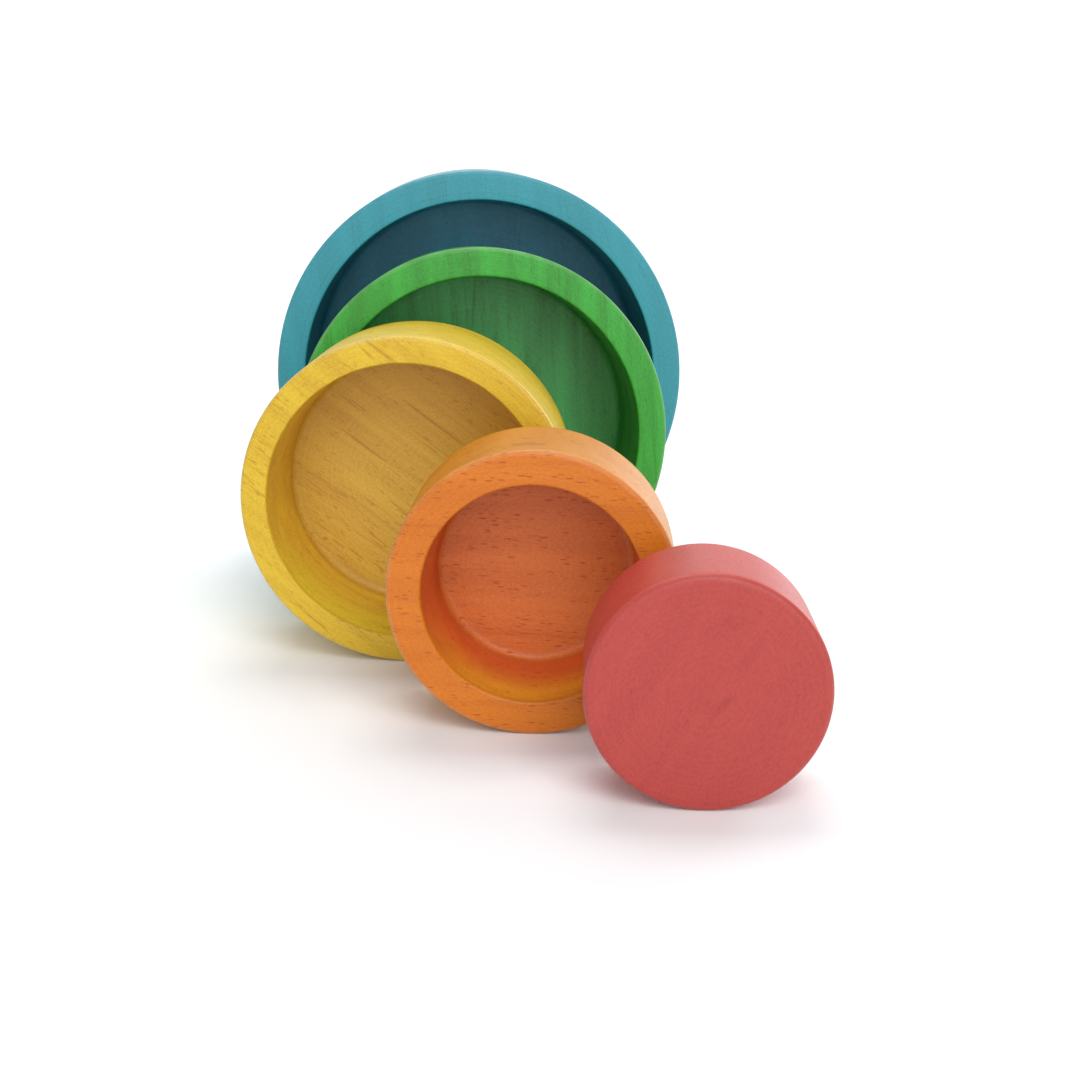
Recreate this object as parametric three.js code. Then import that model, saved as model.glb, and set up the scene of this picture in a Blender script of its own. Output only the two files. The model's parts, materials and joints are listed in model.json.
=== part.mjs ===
// Five nesting bowls, each turned from one block of wood and stained in its own colour.
// They stand on their side walls, like wheels, in a staggered row on a table.
// Millimetres, +Z up. The row runs along Y, smallest bowl at the front (-Y), and the mouths face
// -Y, except the smallest bowl's: that bowl is turned round and shows its flat base.
// The origin is on the table, under the middle of the row.
import * as THREE from "three";

// Each bowl is as deep inside as the next smaller one is high, so that nested mouths are flush.
// That doesn't work for the smallest: it is wider than the orange bowl's floor, so it goes only
// about 9 mm into it.
const FLOOR_THICKNESS = 8.5;
const SMALLEST_HEIGHT = 35.5;

// Rounding of the edges, the same on every bowl.
const BASE_EDGE_RADIUS = 2;
const RIM_OUTER_RADIUS = 1.6;
const RIM_INNER_RADIUS = 0.8;
const FLOOR_FILLET = 2.5;

// Flats round each bowl, an even number. A flat, not an edge, meets the table.
const FLATS = 60;
const ARC_STEPS = 3;

// From the back of the row to its front. wall is at the rim; taper is how much the inside
// narrows from rim to floor, and narrowing how much the outside narrows from rim to base, in
// radius; x is the axis, from the row's centre line; gap is to the bowl behind, and turn is the
// axis's turn about +Z in degrees.
const BOWLS = [
  {
    name: "teal_bowl", colour: "#3d949b", roughness: 0.5,
    diameter: 175, wall: 12, taper: 1.5, narrowing: 0, x: -25.5, gap: 0, turn: 3.5,
  },
  {
    name: "green_bowl", colour: "#4da34b", roughness: 0.5,
    diameter: 147, wall: 11, taper: 1.5, narrowing: 1.5, x: -22.5, gap: 3, turn: 4,
  },
  {
    name: "yellow_bowl", colour: "#d3b040", roughness: 0.45,
    diameter: 120, wall: 9.5, taper: 1.5, narrowing: 0, x: -48, gap: 7, turn: -1.5,
  },
  {
    name: "orange_bowl", colour: "#d3803a", roughness: 0.45,
    diameter: 93.5, wall: 11, taper: 2.5, narrowing: 0, x: -2, gap: 28, turn: -2,
  },
  {
    name: "red_bowl", colour: "#c35b56", roughness: 0.5,
    diameter: 70.5, wall: 9, taper: 1.5, narrowing: 0, x: 47.5, gap: 23.5, turn: -2,
    turnedRound: true,
  },
];

// A quarter round from one direction to another, about (cx, cy), as profile points.
function arc(cx, cy, radius, fromDegrees, toDegrees) {
  const curve = new THREE.EllipseCurve(
    cx, cy, radius, radius,
    THREE.MathUtils.degToRad(fromDegrees), THREE.MathUtils.degToRad(toDegrees),
    toDegrees < fromDegrees,
  );
  return curve.getPoints(ARC_STEPS);
}

// Half section of a bowl: x is the distance from the axis and y the distance behind the mouth.
// It starts in the middle of the floor, runs over the rim and ends in the middle of the base.
function bowlProfile(radius, baseRadius, height, wall, taper) {
  const depth = height - FLOOR_THICKNESS;
  const mouth = radius - wall;
  const floor = mouth - taper;
  return [
    new THREE.Vector2(0, depth),
    ...arc(floor - FLOOR_FILLET, depth - FLOOR_FILLET, FLOOR_FILLET, 90, 0),
    new THREE.Vector2(mouth, RIM_INNER_RADIUS),
    new THREE.Vector2(mouth + RIM_INNER_RADIUS, 0),
    ...arc(radius - RIM_OUTER_RADIUS, RIM_OUTER_RADIUS, RIM_OUTER_RADIUS, -90, 0),
    ...arc(baseRadius - BASE_EDGE_RADIUS, height - BASE_EDGE_RADIUS, BASE_EDGE_RADIUS, 0, 90),
    new THREE.Vector2(0, height),
  ];
}

// The flats touch the bowl's true circle, so the corners between them lie a little outside it.
function bowlGeometry(profile) {
  const geometry = new THREE.LatheGeometry(profile, FLATS);
  const cornerScale = 1 / Math.cos(Math.PI / FLATS);
  geometry.rotateY(Math.PI / FLATS);
  geometry.scale(cornerScale, 1, cornerScale);
  return geometry;
}

// A bowl lying on its side wall at the origin, with the middle of its front face above it. One
// that narrows towards its base leans back by the slope of its wall.
function makeBowl(bowl, height) {
  const radius = bowl.diameter / 2;
  const profile = bowlProfile(radius, radius - bowl.narrowing, height, bowl.wall, bowl.taper);
  const geometry = bowlGeometry(profile);
  if (bowl.turnedRound) {
    geometry.rotateZ(Math.PI);
    geometry.translate(0, height, 0);
  }
  const finish = new THREE.MeshStandardMaterial({
    color: bowl.colour,
    roughness: bowl.roughness,
    metalness: 0,
  });
  const mesh = new THREE.Mesh(geometry, finish);
  mesh.name = bowl.name;
  const lean = Math.atan(bowl.narrowing / (height - RIM_OUTER_RADIUS - BASE_EDGE_RADIUS));
  mesh.rotation.set(-lean, 0, THREE.MathUtils.degToRad(bowl.turn), "ZYX");
  mesh.position.z = radius * Math.cos(lean) + RIM_OUTER_RADIUS * Math.sin(lean);
  return mesh;
}

// The row, from back to front. Each bowl's front face is its height and a gap in front of the
// one behind it.
function makeRow() {
  const row = new THREE.Group();
  let front = 0;
  BOWLS.forEach((bowl, place) => {
    const height = SMALLEST_HEIGHT + (BOWLS.length - 1 - place) * FLOOR_THICKNESS;
    front -= place === 0 ? 0 : height + bowl.gap;
    const mesh = makeBowl(bowl, height);
    mesh.position.x = bowl.x;
    mesh.position.y = front;
    row.add(mesh);
  });
  return row;
}

// Puts the middle of the row's footprint on the origin.
function centreOnTable(row) {
  row.updateMatrixWorld(true);
  const middle = new THREE.Box3().setFromObject(row, true).getCenter(new THREE.Vector3());
  row.position.set(-middle.x, -middle.y, 0);
  return row;
}

const set = new THREE.Group();
set.add(centreOnTable(makeRow()));

export default set;
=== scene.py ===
"""Five nesting bowls, each turned from one block of wood, stained in its own colour and waxed.

They stand on their side walls in a staggered row. Metres, +Z up; the row runs along Y and its
front is at -Y. Every bowl is one mesh made by the turned_bowl geometry tree, whose sizes and
place are read off the CAD solid that it stands for.
"""

import json
import math

import bpy
import numpy as np
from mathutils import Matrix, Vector


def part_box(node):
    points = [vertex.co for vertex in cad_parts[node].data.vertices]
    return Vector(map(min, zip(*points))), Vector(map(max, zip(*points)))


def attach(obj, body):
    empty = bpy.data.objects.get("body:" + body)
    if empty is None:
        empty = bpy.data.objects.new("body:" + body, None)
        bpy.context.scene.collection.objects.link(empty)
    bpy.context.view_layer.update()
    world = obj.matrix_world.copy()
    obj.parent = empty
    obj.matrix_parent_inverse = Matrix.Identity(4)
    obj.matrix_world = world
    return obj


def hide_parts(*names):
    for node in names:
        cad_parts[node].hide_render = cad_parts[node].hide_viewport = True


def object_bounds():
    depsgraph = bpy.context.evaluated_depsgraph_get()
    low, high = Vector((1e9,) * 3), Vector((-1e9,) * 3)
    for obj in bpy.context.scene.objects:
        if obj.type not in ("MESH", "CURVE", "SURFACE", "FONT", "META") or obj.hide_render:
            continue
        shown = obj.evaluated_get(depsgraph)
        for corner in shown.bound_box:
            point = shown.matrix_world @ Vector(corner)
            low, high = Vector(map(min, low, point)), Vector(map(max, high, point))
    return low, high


# Edges, the same on every bowl
RIM_ROUNDING = 0.0016
BASE_ROUNDING = 0.0020
MOUTH_ROUNDING = 0.0008
FLOOR_FILLET = 0.0025

# Flats round each CAD bowl. They touch the true circle, so its corners lie a little outside.
CAD_FLATS = 60

# Surface of the turned bowls
FACETS = 240
ROUNDING_STEPS = 7
RING_SPACING = 0.0025
SANDING_WAVER = 0.00012
SANDING_SIZE = 0.05

# How each bowl was cut and stained. grain is the angle of the grain in the plane of the mouth,
# from level, falling to the right; streak is how wide its broad bands are. Colours are linear:
# face for the rim and the base; side for the outer wall, painted lighter than the face partly for
# the light that falls on that wall; then a painted highlight low down on the inner wall at the
# mouth, where the light falls in; wall for the inner wall and deep for the floor, each the stain
# with the light and shade inside the bowl painted into it. The number after grain is how far the
# edges are worn pale, and it stands also for a painted highlight line along them; contrast, rings
# and pores are how dark the grain's bands, lines and dashes are.
# A flaw's place is from the middle of the mouth: across, down the bowl, up.
BOWLS = {
    "teal_bowl": dict(
        slot="teal_stain", grain=84, wear_and_highlight=0.12, seed=1.0,
        streak=0.007, contrast=0.25, rings=0.15, pores=0.10,
        face=(0.040, 0.310, 0.390), side=(0.045, 0.320, 0.400),
        painted_lit_lip=(0.045, 0.330, 0.420), wall=(0.045, 0.330, 0.420), deep=(0.052, 0.310, 0.460),
        flaws=[],
    ),
    "green_bowl": dict(
        slot="green_stain", grain=88, wear_and_highlight=0.35, seed=2.0,
        streak=0.003, contrast=0.60, rings=0.40, pores=0.30,
        face=(0.040, 0.375, 0.040), side=(0.048, 0.400, 0.045),
        painted_lit_lip=(0.050, 0.400, 0.040), wall=(0.060, 0.460, 0.050), deep=(0.085, 0.490, 0.135),
        flaws=[dict(at=(-0.0014, 0.0525, 0.046), size=(0.0011, 0.01, 0.016), angle=3, depth=0.9)],
    ),
    "yellow_bowl": dict(
        slot="yellow_stain", grain=37, wear_and_highlight=0.32, seed=3.0,
        streak=0.003, contrast=0.38, rings=0.95, pores=0.60,
        face=(0.690, 0.480, 0.028), side=(0.800, 0.600, 0.045),
        painted_lit_lip=(0.880, 0.740, 0.050), wall=(0.850, 0.590, 0.050), deep=(0.690, 0.450, 0.058),
        flaws=[
            dict(at=(-0.020, 0.044, 0.012), size=(0.016, 0.01, 0.0008), angle=37, depth=0.8),
            dict(at=(0.006, 0.044, 0.022), size=(0.022, 0.01, 0.0008), angle=37, depth=0.7),
            dict(at=(-0.008, 0.0, 0.055), size=(0.012, 0.004, 0.0009), angle=37, depth=0.7),
        ],
    ),
    "orange_bowl": dict(
        slot="orange_stain", grain=3, wear_and_highlight=0.30, seed=4.0,
        streak=0.004, contrast=0.35, rings=0.25, pores=1.50,
        face=(0.625, 0.180, 0.010), side=(0.700, 0.270, 0.014),
        painted_lit_lip=(0.880, 0.400, 0.025), wall=(0.720, 0.145, 0.028), deep=(0.660, 0.180, 0.036),
        flaws=[dict(at=(-0.0021, 0.011, 0.0465), size=(0.0070, 0.0030, 0.008), angle=3, depth=1.5)],
    ),
    "red_bowl": dict(
        slot="red_stain", grain=62, wear_and_highlight=0.12, seed=5.0,
        streak=0.006, contrast=0.20, rings=0.10, pores=0.20,
        face=(0.430, 0.056, 0.047), side=(0.540, 0.062, 0.045),
        painted_lit_lip=(0.450, 0.060, 0.050), wall=(0.430, 0.055, 0.045), deep=(0.430, 0.060, 0.055),
        flaws=[
            dict(at=(-0.004, 0.0355, -0.003), size=(0.006, 0.01, 0.0020), angle=42, depth=0.30),
            dict(at=(-0.0046, 0.0355, 0.021), size=(0.010, 0.01, 0.004), angle=15, depth=0.16),
            dict(at=(-0.011, 0.0355, 0.012), size=(0.008, 0.01, 0.003), angle=50, depth=0.16),
        ],
    ),
}

# Surface: how far from the edges they are worn pale, with a painted highlight line, how far into
# the floor's corner its painted shade reaches, how far apart the tool marks are, and how dark the
# finest grain, the marks and the painted corner shade are
EDGE_REACH = 0.0016
CORNER_REACH = 0.006
MARK_SPACING = 0.0011
MOTTLE_DARKNESS = 0.32
MARK_DARKNESS = 0.10
CORNER_DARKNESS = 0.25
BUMP_DEPTH = 0.00012
MERGE_DISTANCE = 1e-6
SAME_PLACE = 1e-5

# Table top, in metres beyond the row
TABLE_REACH = 9.0
TABLE_BEHIND = 0.9
BEND_RADIUS = 0.8
BEND_STEPS = 24
WALL_HEIGHT = 6.0

# The view: the lens looks level along +Y, then tips down
CAMERA_RIGHT = 0.0169
CAMERA_IN_FRONT = 0.3938
CAMERA_HEIGHT = 0.1823
CAMERA_TIP = 14.48
LENS = 50.0

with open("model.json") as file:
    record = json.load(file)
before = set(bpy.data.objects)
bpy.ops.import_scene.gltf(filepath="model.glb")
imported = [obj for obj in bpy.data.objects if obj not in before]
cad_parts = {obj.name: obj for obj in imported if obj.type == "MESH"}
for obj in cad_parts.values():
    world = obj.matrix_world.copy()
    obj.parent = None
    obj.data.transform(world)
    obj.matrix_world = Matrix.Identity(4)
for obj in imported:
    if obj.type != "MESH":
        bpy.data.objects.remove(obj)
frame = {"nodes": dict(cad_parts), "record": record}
cad_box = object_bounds()
cad_low, cad_high = cad_box


# ---------------------------------------------------------------- nodes

def add(tree, kind, inputs=None, **settings):
    """A node with its settings, and its inputs set to values or fed by sockets."""
    made = tree.nodes.new(kind)
    for name, value in settings.items():
        setattr(made, name, value)
    for key, value in (inputs or {}).items():
        socket = made.inputs[key]
        if isinstance(value, bpy.types.NodeSocket):
            tree.links.new(value, socket)
        else:
            socket.default_value = value
    return made


def calc(tree, operation, *values, clamp=False):
    """The result of a Math node."""
    made = add(tree, "ShaderNodeMath", dict(enumerate(values)), operation=operation)
    made.use_clamp = clamp
    return made.outputs[0]


def vector_calc(tree, operation, *values):
    """The vector from a Vector Math node."""
    made = add(tree, "ShaderNodeVectorMath", dict(enumerate(values)), operation=operation)
    return made.outputs["Vector"]


def ramp(tree, value, low, high, to_low=0.0, to_high=1.0):
    """value from low..high carried smoothly to to_low..to_high."""
    made = add(tree, "ShaderNodeMapRange", interpolation_type="SMOOTHSTEP", inputs={
        "Value": value, "From Min": low, "From Max": high, "To Min": to_low, "To Max": to_high})
    return made.outputs["Result"]


def blend_colour(tree, amount, first, second, mode="MIX"):
    """first turned into second by amount."""
    made = tree.nodes.new("ShaderNodeMix")
    made.data_type = "RGBA"
    made.blend_type = mode
    for name, value in (("Factor_Float", amount), ("A_Color", first), ("B_Color", second)):
        socket = next(s for s in made.inputs if s.identifier == name)
        if isinstance(value, bpy.types.NodeSocket):
            tree.links.new(value, socket)
        else:
            socket.default_value = value
    return next(s for s in made.outputs if s.identifier == "Result_Color")


def new_tree(name, kind, inputs, outputs):
    """An empty node group with named sockets. Returns it with its inner ends."""
    tree = bpy.data.node_groups.new(name, kind)
    for direction, sockets in (("INPUT", inputs), ("OUTPUT", outputs)):
        for socket_name, socket_type in sockets.items():
            tree.interface.new_socket(
                name=socket_name, in_out=direction, socket_type="NodeSocket" + socket_type)
    return tree, tree.nodes.new("NodeGroupInput").outputs, tree.nodes.new("NodeGroupOutput").inputs


# ---------------------------------------------------------------- the turned bowl

def turned_bowl_tree():
    """A bowl turned round its own +Z axis, mouth at the origin, then put in its place.

    Six corners of its half section, from the middle of the floor to the middle of the base, are
    rounded, given rings to turn, and swept round. The named attributes that the stains read are
    edge (near an outer edge), corner (near the floor's corner) and inside (0 at the mouth, 1 on
    the floor).
    """
    tree, given, result = new_tree(
        "turned_bowl", "GeometryNodeTree",
        {"Radius": "Float", "Base Radius": "Float", "Height": "Float",
         "Mouth Radius": "Float", "Floor Radius": "Float",
         "Depth": "Float", "Rim Rounding": "Float", "Base Rounding": "Float",
         "Mouth Rounding": "Float", "Floor Fillet": "Float", "Facets": "Int",
         "Rounding Steps": "Int", "Ring Spacing": "Float", "Waver": "Float",
         "Waver Size": "Float", "Seed": "Float", "Place": "Vector", "Turn": "Rotation",
         "Stain": "Material"},
        {"Bowl": "Geometry"})

    def point(across, along):
        return add(tree, "ShaderNodeCombineXYZ", {"X": across, "Z": along}).outputs[0]

    def pick(kind, values):
        """One of the values for each corner, by its place in the half section."""
        switch = tree.nodes.new("GeometryNodeIndexSwitch")
        switch.data_type = kind
        while len(switch.index_switch_items) < len(values):
            switch.index_switch_items.new()
        tree.links.new(add(tree, "GeometryNodeInputIndex").outputs[0], switch.inputs["Index"])
        for place, value in enumerate(values):
            socket = switch.inputs[str(place)]
            if isinstance(value, bpy.types.NodeSocket):
                tree.links.new(value, socket)
            else:
                socket.default_value = value
        return switch.outputs[0]

    corners = [
        point(0.0, given["Depth"]),
        point(given["Floor Radius"], given["Depth"]),
        point(given["Mouth Radius"], 0.0),
        point(given["Radius"], 0.0),
        point(given["Base Radius"], given["Height"]),
        point(0.0, given["Height"]),
    ]
    line = add(tree, "GeometryNodeMeshLine", {"Count": len(corners)})
    section_corners = add(tree, "GeometryNodeSetPosition", {
        "Geometry": line.outputs[0], "Position": pick("VECTOR", corners)}).outputs[0]

    def nearness(places, reach):
        """1 at the corners with those places and 0 beyond reach of them."""
        chosen = pick("FLOAT", [1.0 if n in places else 0.0 for n in range(len(corners))])
        kept = add(tree, "GeometryNodeSeparateGeometry", {
            "Geometry": section_corners, "Selection": calc(tree, "GREATER_THAN", chosen, 0.5)},
            domain="POINT")
        found = add(tree, "GeometryNodeProximity", {"Geometry": kept.outputs["Selection"]},
                    target_element="POINTS")
        return ramp(tree, found.outputs["Distance"], reach, 0.0)

    def store(geometry, name, value):
        return add(tree, "GeometryNodeStoreNamedAttribute", {
            "Geometry": geometry, "Name": name, "Value": value},
            data_type="FLOAT", domain="POINT").outputs[0]

    section = store(section_corners, "inside", pick("FLOAT", [1.0, 1.0, 0.0, 0.0, 0.0, 0.0]))
    section = add(tree, "GeometryNodeMeshToCurve", {"Mesh": section}).outputs[0]
    rounding = pick("FLOAT", [0.0, given["Floor Fillet"], given["Mouth Rounding"],
                              given["Rim Rounding"], given["Base Rounding"], 0.0])
    section = add(tree, "GeometryNodeFilletCurve", {
        "Curve": section, "Radius": rounding, "Limit Radius": True,
        "Count": given["Rounding Steps"]}, mode="POLY").outputs[0]

    # Rings between the roundings, so that the flats are turned too
    here = add(tree, "GeometryNodeInputPosition").outputs[0]
    next_index = calc(tree, "ADD", add(tree, "GeometryNodeInputIndex").outputs[0], 1.0)
    next_place = add(tree, "GeometryNodeFieldAtIndex", {"Value": here, "Index": next_index},
                     data_type="FLOAT_VECTOR", domain="POINT").outputs[0]
    gap = add(tree, "ShaderNodeVectorMath", {0: here, 1: next_place}, operation="DISTANCE")
    cuts = calc(tree, "FLOOR", calc(tree, "DIVIDE", gap.outputs["Value"], given["Ring Spacing"]))
    section = add(tree, "GeometryNodeSubdivideCurve", {"Curve": section, "Cuts": cuts}).outputs[0]
    section = store(section, "edge", nearness((3, 4), EDGE_REACH))
    section = store(section, "corner", nearness((1,), CORNER_REACH))

    # The sweep: each point keeps its distance from the axis and from the mouth
    parts = add(tree, "ShaderNodeSeparateXYZ", {0: here}).outputs
    held = add(tree, "GeometryNodeCaptureAttribute", {"Geometry": section})
    held.capture_items.new("FLOAT", "across")
    held.capture_items.new("FLOAT", "along")
    tree.links.new(parts["X"], held.inputs["across"])
    tree.links.new(parts["Z"], held.inputs["along"])
    circle = add(tree, "GeometryNodeCurvePrimitiveCircle", {"Resolution": given["Facets"]})
    way = add(tree, "GeometryNodeCaptureAttribute", {"Geometry": circle.outputs[0]})
    way.capture_items.new("VECTOR", "outward")
    tree.links.new(here, way.inputs["outward"])
    swept = add(tree, "GeometryNodeCurveToMesh", {
        "Curve": way.outputs["Geometry"], "Profile Curve": held.outputs["Geometry"]}).outputs[0]
    outward = add(tree, "ShaderNodeVectorMath", {
        0: way.outputs["outward"], "Scale": held.outputs["across"]}, operation="SCALE")
    turned = vector_calc(tree, "ADD", outward.outputs["Vector"], point(0.0, held.outputs["along"]))
    swept = add(tree, "GeometryNodeSetPosition", {"Geometry": swept, "Position": turned})
    closed = add(tree, "GeometryNodeMergeByDistance", {
        "Geometry": swept.outputs[0], "Distance": MERGE_DISTANCE}).outputs[0]
    closed = add(tree, "GeometryNodeFlipFaces", {"Mesh": closed}).outputs[0]

    # Sanding by hand leaves the surface very slightly uneven
    grit = add(tree, "ShaderNodeTexNoise", {
        "Vector": here, "W": given["Seed"], "Scale": calc(tree, "DIVIDE", 1.0, given["Waver Size"]),
        "Detail": 1.0}, noise_dimensions="4D")
    lift = calc(tree, "MULTIPLY", calc(tree, "SUBTRACT", grit.outputs[0], 0.5), given["Waver"])
    uneven = add(tree, "ShaderNodeVectorMath", {
        0: add(tree, "GeometryNodeInputNormal").outputs[0], "Scale": lift}, operation="SCALE")
    sanded = add(tree, "GeometryNodeSetPosition", {
        "Geometry": closed, "Offset": uneven.outputs["Vector"]}).outputs[0]

    placed = add(tree, "GeometryNodeTransform", {
        "Geometry": sanded, "Translation": given["Place"], "Rotation": given["Turn"]}).outputs[0]
    smooth = add(tree, "GeometryNodeSetShadeSmooth", {"Geometry": placed}).outputs[0]
    real = add(tree, "GeometryNodeRealizeInstances", {"Geometry": smooth}).outputs[0]
    stained = add(tree, "GeometryNodeSetMaterial", {
        "Geometry": real, "Material": given["Stain"]}).outputs[0]
    tree.links.new(stained, result["Bowl"])
    return tree


def read_bowl(node):
    """The sizes and the place of a bowl, read off its CAD solid and the space inside it."""
    low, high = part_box(node)
    mesh = frame["nodes"][node].data
    points = np.array([v.co for v in mesh.vertices])
    middle = points.mean(axis=0)
    into = Vector()
    for face in mesh.polygons:
        if abs(face.normal.y) > 0.9:
            into += face.area * math.copysign(1, face.normal.y) * face.normal
    into.normalize()
    inside = next(o for o in frame["record"]["physics"]["openings"]
                  if o["name"] == node.replace("_bowl", "_inside"))
    if inside["box_m"][0][1] + inside["box_m"][1][1] > low.y + high.y:
        into.negate()

    along = (points - middle) @ np.array(into)
    across = np.linalg.norm(points - middle - np.outer(along, np.array(into)), axis=1)
    across *= math.cos(math.pi / CAD_FLATS)
    mouth = Vector(middle) + into * along.min()
    along -= along.min()
    height = float(along.max())

    def ring(distance):
        """The widest ring that is as far behind the mouth as distance."""
        return float(across[abs(along - distance) < SAME_PLACE].max())

    # The side wall is straight between the roundings, and is carried on to the sharp corners
    radius = ring(RIM_ROUNDING)
    slope = (radius - ring(height - BASE_ROUNDING)) / (height - RIM_ROUNDING - BASE_ROUNDING)
    depth = float(along[across < SAME_PLACE].min())
    return dict(
        height=height, depth=depth, into=into, mouth=mouth,
        radius=radius + slope * RIM_ROUNDING,
        base_radius=radius - slope * (height - RIM_ROUNDING),
        mouth_radius=float(across[along < SAME_PLACE].min()) - MOUTH_ROUNDING,
        floor_radius=ring(depth) + FLOOR_FILLET,
    )


def turn_bowl(tree, node, size, stain):
    """One bowl as a plain mesh, standing for its CAD node."""
    blank = bpy.data.objects.new(node + "_blank", bpy.data.meshes.new(node + "_blank"))
    bpy.context.scene.collection.objects.link(blank)
    lathe = blank.modifiers.new("turned_bowl", "NODES")
    lathe.node_group = tree
    sizes = {
        "Radius": size["radius"], "Base Radius": size["base_radius"],
        "Height": size["height"], "Depth": size["depth"],
        "Mouth Radius": size["mouth_radius"], "Floor Radius": size["floor_radius"],
        "Rim Rounding": RIM_ROUNDING, "Base Rounding": BASE_ROUNDING,
        "Mouth Rounding": MOUTH_ROUNDING, "Floor Fillet": FLOOR_FILLET, "Facets": FACETS,
        "Rounding Steps": ROUNDING_STEPS, "Ring Spacing": RING_SPACING, "Waver": SANDING_WAVER,
        "Waver Size": SANDING_SIZE, "Seed": BOWLS[node]["seed"], "Place": size["mouth"],
        "Turn": size["into"].to_track_quat("Z", "Y").to_euler(), "Stain": stain,
    }
    identifiers = {s.name: s.identifier for s in tree.interface.items_tree if s.in_out == "INPUT"}
    for name, value in sizes.items():
        lathe[identifiers[name]] = value
    ready = blank.evaluated_get(bpy.context.evaluated_depsgraph_get())
    mesh = bpy.data.meshes.new_from_object(ready)
    mesh.name = node + "_turned"
    bowl = bpy.data.objects.new(node + "_turned", mesh)
    bpy.context.scene.collection.objects.link(bowl)
    bpy.data.objects.remove(blank)
    return bowl


# ---------------------------------------------------------------- wood and stain

def wood_grain_group():
    """Solid wood grain. Vector is in metres with X along the grain, so walls show end grain.

    Streaks are broad soft bands, Rings fine dark lines between growth layers, Fibres the finest
    texture, and Pores short dark dashes.
    """
    tree, given, result = new_tree(
        "wood_grain", "ShaderNodeTree",
        {"Vector": "Vector", "Seed": "Float", "Streak Width": "Float"},
        {"Streaks": "Float", "Rings": "Float", "Fibres": "Float", "Pores": "Float",
         "Mottle": "Float"})

    def noise(vector, scale, detail, roughness=0.5):
        return add(tree, "ShaderNodeTexNoise", {
            "Vector": vector, "W": given["Seed"], "Scale": scale, "Detail": detail,
            "Roughness": roughness}, noise_dimensions="4D").outputs[0]

    def stretched(vector, length):
        """vector with everything length times as long along the grain."""
        return vector_calc(tree, "MULTIPLY", vector, (1 / length, 1, 1))

    drift = calc(tree, "SUBTRACT", noise(stretched(given["Vector"], 2.0), 16.0, 1.0), 0.5)
    sway = add(tree, "ShaderNodeCombineXYZ", {"Z": calc(tree, "MULTIPLY", drift, 0.012)})
    bent = vector_calc(tree, "ADD", given["Vector"], sway.outputs[0])

    per_streak = calc(tree, "DIVIDE", 1.0, given["Streak Width"])
    broad = noise(stretched(bent, 12.0), calc(tree, "MULTIPLY", per_streak, 0.35), 2.0)
    narrow = noise(stretched(bent, 25.0), per_streak, 4.0, 0.6)
    streaks = calc(tree, "ADD", calc(tree, "MULTIPLY", broad, 0.55),
                   calc(tree, "MULTIPLY", narrow, 0.45))
    tree.links.new(ramp(tree, streaks, 0.36, 0.64), result["Streaks"])

    layers = noise(stretched(bent, 16.0), calc(tree, "MULTIPLY", per_streak, 0.8), 2.0, 0.55)
    line = calc(tree, "ABSOLUTE", calc(tree, "SUBTRACT", layers, 0.5))
    patchy = ramp(tree, noise(stretched(bent, 5.0), 90.0, 1.0), 0.40, 0.58)
    rings = calc(tree, "MULTIPLY", ramp(tree, line, 0.016, 0.0), patchy)
    tree.links.new(rings, result["Rings"])

    tree.links.new(noise(stretched(bent, 14.0), 2400.0, 2.0, 0.6), result["Fibres"])
    mottle = noise(stretched(given["Vector"], 1.6), 1500.0, 3.0, 0.6)
    tree.links.new(ramp(tree, mottle, 0.36, 0.64), result["Mottle"])

    cells = add(tree, "ShaderNodeTexVoronoi", {
        "Vector": stretched(bent, 4.5), "W": given["Seed"], "Scale": 1100.0},
        voronoi_dimensions="4D", feature="F1")
    kept = add(tree, "ShaderNodeSeparateColor", {0: cells.outputs["Color"]}).outputs[0]
    crowd = ramp(tree, noise(stretched(bent, 4.0), 110.0, 2.0), 0.40, 0.60, 0.22, 0.95)
    dash = calc(tree, "MULTIPLY", ramp(tree, cells.outputs["Distance"], 0.38, 0.18),
                calc(tree, "LESS_THAN", kept, crowd))
    tree.links.new(dash, result["Pores"])
    return tree


def turning_marks_group():
    """Faint rings that the tool leaves round the bowl's axis, which is Y of Vector."""
    tree, given, result = new_tree(
        "turning_marks", "ShaderNodeTree",
        {"Vector": "Vector", "Seed": "Float", "Spacing": "Float"}, {"Marks": "Float"})
    flat = vector_calc(tree, "MULTIPLY", given["Vector"], (1, 0, 1))
    radius = add(tree, "ShaderNodeVectorMath", {0: flat}, operation="LENGTH").outputs["Value"]
    steps = add(tree, "ShaderNodeTexNoise", {
        "W": calc(tree, "ADD", calc(tree, "DIVIDE", radius, given["Spacing"]), given["Seed"]),
        "Scale": 1.0, "Detail": 2.0}, noise_dimensions="1D").outputs[0]
    tree.links.new(ramp(tree, steps, 0.35, 0.65), result["Marks"])
    return tree


def rubbed_edge_group():
    """Worn pale edges, in broken patches, that are also a painted highlight. Edge is 1 on the edge
    itself.
    """
    tree, given, result = new_tree(
        "worn_highlit_edge", "ShaderNodeTree",
        {"Vector": "Vector", "Edge": "Float", "Seed": "Float", "Amount": "Float"},
        {"Wear And Highlight": "Float"})
    patches = add(tree, "ShaderNodeTexNoise", {
        "Vector": given["Vector"], "W": given["Seed"], "Scale": 110.0, "Detail": 4.0,
        "Roughness": 0.65}, noise_dimensions="4D").outputs[0]
    worn = calc(tree, "MULTIPLY", ramp(tree, patches, 0.32, 0.68, 0.45, 1.0), given["Edge"])
    tree.links.new(calc(tree, "MULTIPLY", worn, given["Amount"], clamp=True), result["Wear And Highlight"])
    return tree


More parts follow.
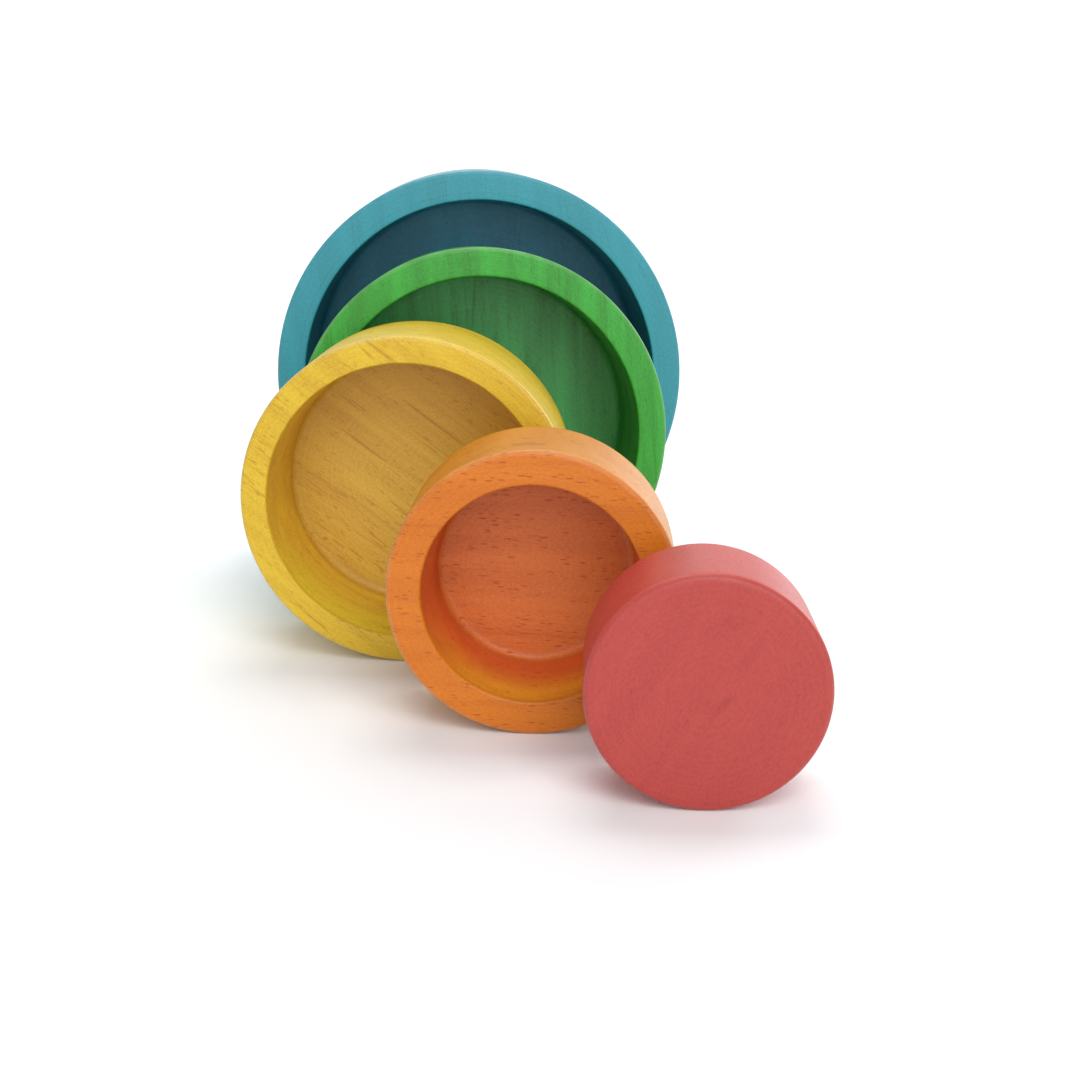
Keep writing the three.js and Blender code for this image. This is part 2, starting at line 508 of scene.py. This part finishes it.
def flaw_group():
    """A dark flaw in the wood: 1 in the middle of Vector, fading to 0 a unit away from it."""
    tree, given, result = new_tree(
        "flaw", "ShaderNodeTree", {"Vector": "Vector", "Seed": "Float"}, {"Flaw": "Float"})
    ragged = add(tree, "ShaderNodeTexNoise", {
        "Vector": given["Vector"], "W": given["Seed"], "Scale": 1.7, "Detail": 3.0},
        noise_dimensions="4D").outputs["Color"]
    shifted = vector_calc(tree, "ADD", given["Vector"],
                          vector_calc(tree, "SUBTRACT", ragged, (0.5, 0.5, 0.5)))
    away = add(tree, "ShaderNodeVectorMath", {0: shifted}, operation="LENGTH").outputs["Value"]
    tree.links.new(ramp(tree, away, 1.0, 0.15), result["Flaw"])
    return tree


def stain_material(node, size, groups):
    """The wood of one bowl under its stain and wax."""
    bowl = BOWLS[node]
    material = bpy.data.materials.new(node.replace("bowl", "wood"))
    material.use_nodes = True
    tree = material.node_tree
    tree.nodes.clear()

    def use(group, **inputs):
        made = tree.nodes.new("ShaderNodeGroup")
        made.node_tree = groups[group]
        for name, value in inputs.items():
            socket = made.inputs[name.replace("_", " ")]
            if isinstance(value, bpy.types.NodeSocket):
                tree.links.new(value, socket)
            else:
                socket.default_value = value
        return made.outputs

    def attribute(name):
        return add(tree, "ShaderNodeAttribute", attribute_name=name).outputs["Fac"]

    turn = math.atan2(-size["into"].x, size["into"].y)
    surface = add(tree, "ShaderNodeTexCoord").outputs
    place = surface["Object"]
    centred = add(tree, "ShaderNodeMapping", {
        "Vector": place, "Location": size["mouth"],
        "Rotation": (0, math.radians(bowl["grain"]), turn)}, vector_type="TEXTURE").outputs[0]
    upright = add(tree, "ShaderNodeMapping", {
        "Vector": place, "Location": size["mouth"], "Rotation": (0, 0, turn)},
        vector_type="TEXTURE").outputs[0]
    wood = use("wood_grain", Vector=centred, Seed=bowl["seed"], Streak_Width=bowl["streak"])
    marks = use("turning_marks", Vector=centred, Seed=bowl["seed"], Spacing=MARK_SPACING)["Marks"]
    # Edges worn pale, which also serve as a painted highlight line along the outer edges
    wear_and_highlight = use("worn_highlit_edge", Vector=centred, Edge=attribute("edge"), Seed=bowl["seed"],
                 Amount=bowl["wear_and_highlight"])["Wear And Highlight"]
    inside = attribute("inside")
    corner = attribute("corner")

    # The outer wall takes the side colour, painted lighter than the face partly for the light that
    # falls on it
    facing = add(tree, "ShaderNodeSeparateXYZ", {0: surface["Normal"]}).outputs["Y"]
    outer_wall = ramp(tree, calc(tree, "ABSOLUTE", facing), 0.75, 0.35)
    colour = blend_colour(tree, outer_wall, (*bowl["face"], 1), (*bowl["side"], 1))
    # Inner wall: the stain with the light and shade inside the bowl painted into it
    colour = blend_colour(tree, ramp(tree, inside, 0.0, 0.06), colour, (*bowl["wall"], 1))
    # Painted highlight: low down on the inner wall near the mouth, where the light falls in, it is
    # lighter
    up = add(tree, "ShaderNodeSeparateXYZ", {0: upright}).outputs["Z"]
    low = ramp(tree, up, -0.1 * size["radius"], -0.7 * size["radius"])
    near_mouth = calc(tree, "MULTIPLY", ramp(tree, inside, 0.0, 0.06),
                      ramp(tree, inside, 0.80, 0.08))
    colour = blend_colour(tree, calc(tree, "MULTIPLY", low, near_mouth), colour,
                          (*bowl["painted_lit_lip"], 1))
    # Floor: the stain with the light and shade deep in the bowl painted into it
    colour = blend_colour(tree, ramp(tree, inside, 0.93, 1.0), colour, (*bowl["deep"], 1))
    dark = calc(tree, "MULTIPLY", wood["Streaks"], bowl["contrast"])
    dark = calc(tree, "ADD", dark, calc(tree, "MULTIPLY", wood["Rings"], bowl["rings"]))
    dark = calc(tree, "ADD", dark, calc(tree, "MULTIPLY", wood["Pores"], bowl["pores"]))
    dark = calc(tree, "ADD", dark, calc(tree, "MULTIPLY", wood["Mottle"], MOTTLE_DARKNESS))
    dark = calc(tree, "ADD", dark, calc(tree, "MULTIPLY", marks, MARK_DARKNESS))
    for number, flaw in enumerate(bowl["flaws"]):
        around = add(tree, "ShaderNodeMapping", {
            "Vector": upright, "Location": flaw["at"], "Scale": flaw["size"],
            "Rotation": (0, math.radians(flaw["angle"]), 0)}, vector_type="TEXTURE").outputs[0]
        found = use("flaw", Vector=around, Seed=bowl["seed"] + number)["Flaw"]
        dark = calc(tree, "ADD", dark, calc(tree, "MULTIPLY", found, flaw["depth"]))
    dark = calc(tree, "MINIMUM", dark, 1.5)
    shade = blend_colour(tree, 1.0, colour, (0.70, 0.54, 0.50, 1), mode="MULTIPLY")
    colour = blend_colour(tree, dark, colour, shade)
    # The pale colour of the worn edges, which is also their painted highlight
    pale = blend_colour(tree, 0.5, colour, (0.85, 0.78, 0.62, 1))
    colour = blend_colour(tree, wear_and_highlight, colour, pale)
    # Painted shade: the colour is darker into the floor's corner
    painted_corner_shade = blend_colour(tree, 1.0, colour, (0.72, 0.66, 0.64, 1), mode="MULTIPLY")
    colour = blend_colour(tree, calc(tree, "MULTIPLY", corner, CORNER_DARKNESS), colour, painted_corner_shade)

    rough = ramp(tree, wood["Fibres"], 0.3, 0.7, 0.36, 0.46)
    rough = calc(tree, "ADD", rough, calc(tree, "MULTIPLY", wood["Pores"], 0.2))
    rough = calc(tree, "SUBTRACT", rough, calc(tree, "MULTIPLY", wear_and_highlight, 0.25))
    height = calc(tree, "MULTIPLY", wood["Fibres"], 0.35)
    height = calc(tree, "ADD", height, calc(tree, "MULTIPLY", marks, 0.25))
    height = calc(tree, "SUBTRACT", height, calc(tree, "MULTIPLY", wood["Pores"], bowl["pores"]))
    height = calc(tree, "SUBTRACT", height, calc(tree, "MULTIPLY", wood["Rings"], 0.3))
    bump = add(tree, "ShaderNodeBump", {"Height": height, "Distance": BUMP_DEPTH, "Strength": 0.6})

    wax = add(tree, "ShaderNodeBsdfPrincipled", {
        "Base Color": colour, "Roughness": rough, "Normal": bump.outputs[0]})
    wax.inputs["IOR"].default_value = 1.46
    wax.inputs["Specular IOR Level"].default_value = 0.38
    out = tree.nodes.new("ShaderNodeOutputMaterial")
    tree.links.new(wax.outputs[0], out.inputs["Surface"])
    return material


# ---------------------------------------------------------------- table, light and view

def table_material():
    """A pale matt table top with a very faint mottle."""
    material = bpy.data.materials.new("table_top")
    material.use_nodes = True
    tree = material.node_tree
    paint = tree.nodes["Principled BSDF"]
    mottle = add(tree, "ShaderNodeTexNoise", {
        "Vector": add(tree, "ShaderNodeTexCoord").outputs["Object"], "Scale": 9.0, "Detail": 3.0})
    colour = blend_colour(
        tree, mottle.outputs[0], (0.90, 0.90, 0.90, 1), (0.93, 0.93, 0.925, 1))
    tree.links.new(colour, paint.inputs["Base Color"])
    paint.inputs["Roughness"].default_value = 0.7
    return material


def add_table():
    """A table top that rises behind the row in one long curve."""
    back = cad_high.y + TABLE_BEHIND
    rows = [(cad_low.y - TABLE_REACH, 0.0), (back, 0.0)]
    for step in range(1, BEND_STEPS + 1):
        angle = math.pi / 2 * step / BEND_STEPS
        rows.append((back + BEND_RADIUS * math.sin(angle), BEND_RADIUS * (1 - math.cos(angle))))
    rows.append((back + BEND_RADIUS, WALL_HEIGHT))
    vertices = [(side * TABLE_REACH, y, z) for y, z in rows for side in (-1, 1)]
    faces = [(2 * n, 2 * n + 1, 2 * n + 3, 2 * n + 2) for n in range(len(rows) - 1)]
    mesh = bpy.data.meshes.new("table")
    mesh.from_pydata(vertices, [], faces)
    for face in mesh.polygons:
        face.use_smooth = True
    mesh.materials.append(table_material())
    table = bpy.data.objects.new("table", mesh)
    bpy.context.scene.collection.objects.link(table)


def add_softbox(name, place, target, size, power, colour=(1, 1, 1)):
    """A square soft light that points at target."""
    lamp = bpy.data.lights.new(name, "AREA")
    lamp.shape = "SQUARE"
    lamp.size = size
    lamp.energy = power
    lamp.color = colour
    box = bpy.data.objects.new(name, lamp)
    bpy.context.scene.collection.objects.link(box)
    box.location = place
    box.rotation_euler = (target - place).to_track_quat("-Z", "Y").to_euler()


def add_lights():
    """Soft daylight from above and the right, with a pale room all round."""
    middle = (cad_low + cad_high) / 2
    add_softbox("front_window", middle + Vector((0.7, -2.2, 0.4)), middle, 1.6, 19)
    add_softbox("front_fill", middle + Vector((-0.6, -2.1, 0.7)), middle, 1.4, 7)
    add_softbox("upper_window", middle + Vector((0.4, -1.6, 1.5)), middle, 1.2, 25, (0.94, 0.98, 1))
    add_softbox("side_window", middle + Vector((1.2, 1.0, 0.5)), middle, 0.8, 9, (0.85, 0.93, 1))
    behind = middle + Vector((0.0, 2.2, 0.6))
    add_softbox("backdrop_light", middle + Vector((0.0, 0.8, 2.4)), behind, 1.5, 38)
    world = bpy.data.worlds.new("room")
    world.use_nodes = True
    world.node_tree.nodes["Background"].inputs["Color"].default_value = (0.95, 0.97, 1.0, 1)
    world.node_tree.nodes["Background"].inputs["Strength"].default_value = 0.32
    bpy.context.scene.world = world


def add_camera():
    """Slightly above the row, looking along it from the front."""
    lens = bpy.data.cameras.new("camera")
    lens.lens = LENS
    lens.sensor_width = 36.0
    camera = bpy.data.objects.new("camera", lens)
    bpy.context.scene.collection.objects.link(camera)
    camera.location = (CAMERA_RIGHT, cad_low.y - CAMERA_IN_FRONT, CAMERA_HEIGHT)
    camera.rotation_euler = (math.radians(90 - CAMERA_TIP), 0, 0)
    bpy.context.scene.camera = camera


def make_bowls():
    tree = turned_bowl_tree()
    groups = {
        "wood_grain": wood_grain_group(),
        "turning_marks": turning_marks_group(),
        "worn_highlit_edge": rubbed_edge_group(),
        "flaw": flaw_group(),
    }
    for node, bowl in BOWLS.items():
        size = read_bowl(node)
        turned = turn_bowl(tree, node, size, stain_material(node, size, groups))
        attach(turned, node)
        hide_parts(node)


bpy.context.scene.view_settings.view_transform = "Standard"
add_camera()
add_lights()
add_table()
make_bowls()
